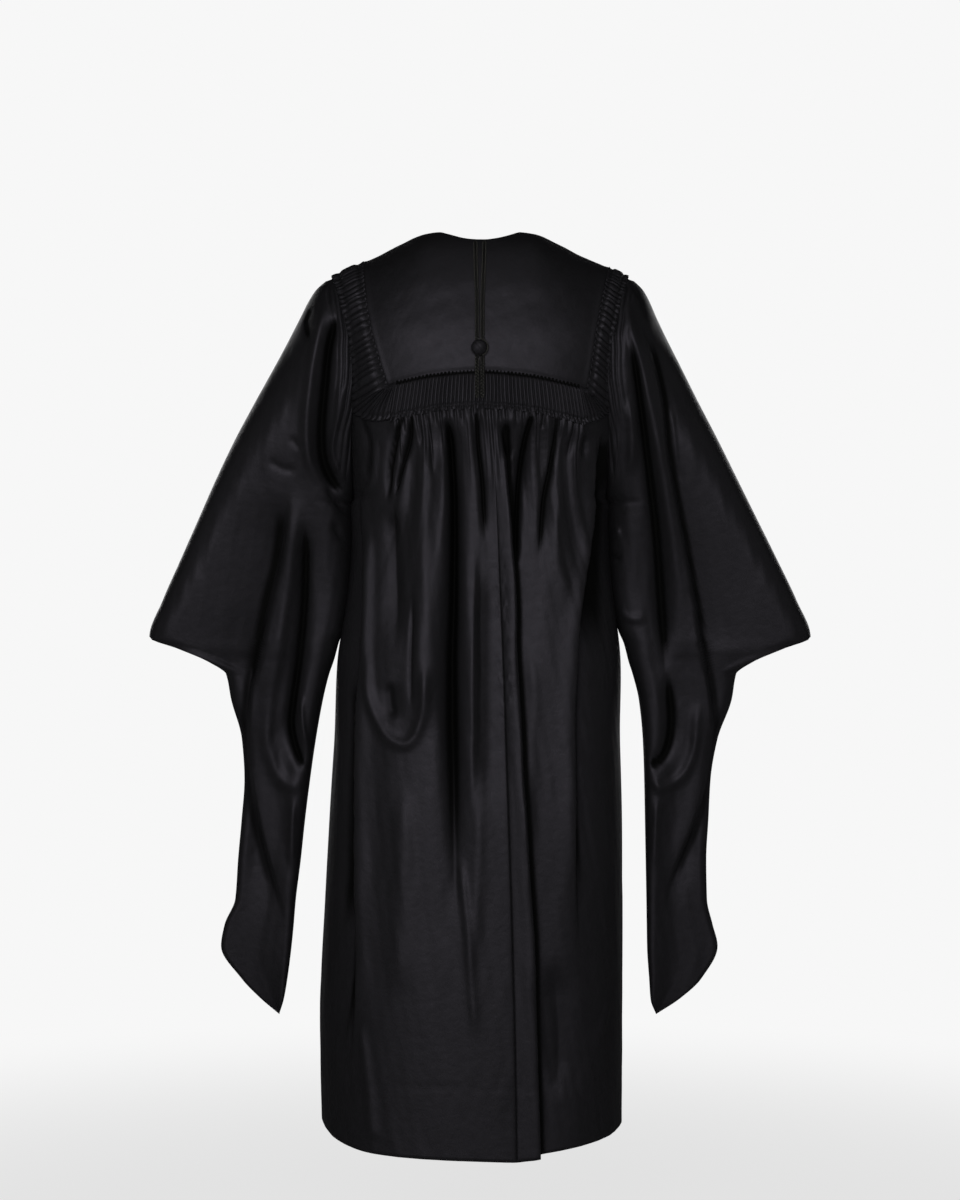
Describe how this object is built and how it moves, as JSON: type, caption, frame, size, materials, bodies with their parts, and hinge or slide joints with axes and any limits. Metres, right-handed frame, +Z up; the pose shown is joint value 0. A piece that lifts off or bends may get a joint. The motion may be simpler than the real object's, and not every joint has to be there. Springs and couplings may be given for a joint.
{
  "type": "graduation gown",
  "caption": "Full-length academic gown with a fluted back yoke, gathered body, front zip and long closed-point sleeves open at the wrist.",
  "frame": {"origin": "midway between the two points where the shoulder seams meet the neck, where the wearer's shoulders hold it", "axes": "+Z up, +Y towards the zipped front, -X towards the wearer's left sleeve"},
  "size_m": [0.9238, 0.3523, 1.263],
  "materials": {
    "satin_cloth": "matt black satin weave with a soft sheen",
    "braid": "black braided cord",
    "zip_plastic": "black moulded coil on woven tape",
    "zip_metal": "black enamel on die-cast metal"
  },
  "bodies": {
    "gown": {"yoke_back": "satin_cloth", "yoke_front_left": "satin_cloth", "yoke_front_right": "satin_cloth", "fluting_back": "satin_cloth", "sleeve_fluting_left": "satin_cloth", "sleeve_fluting_right": "satin_cloth", "back_panel_left": "satin_cloth", "back_panel_right": "satin_cloth", "front_panel_left": "satin_cloth", "front_panel_right": "satin_cloth", "sleeve_left": "satin_cloth", "sleeve_right": "satin_cloth", "cord_left": "braid", "cord_right": "braid", "button": "satin_cloth", "zip": "zip_plastic", "zip_slider": "zip_metal"},
    "zip_pull": {"zip_pull_tab": "zip_metal"}
  },
  "joints": [
    {"name": "zip_pull_hinge", "type": "hinge", "parent": "gown", "child": "zip_pull", "pos_m": [0, 0.11352, -0.11092], "axis": [1, 0, 0], "range_deg": [0, 150]}
  ]
}
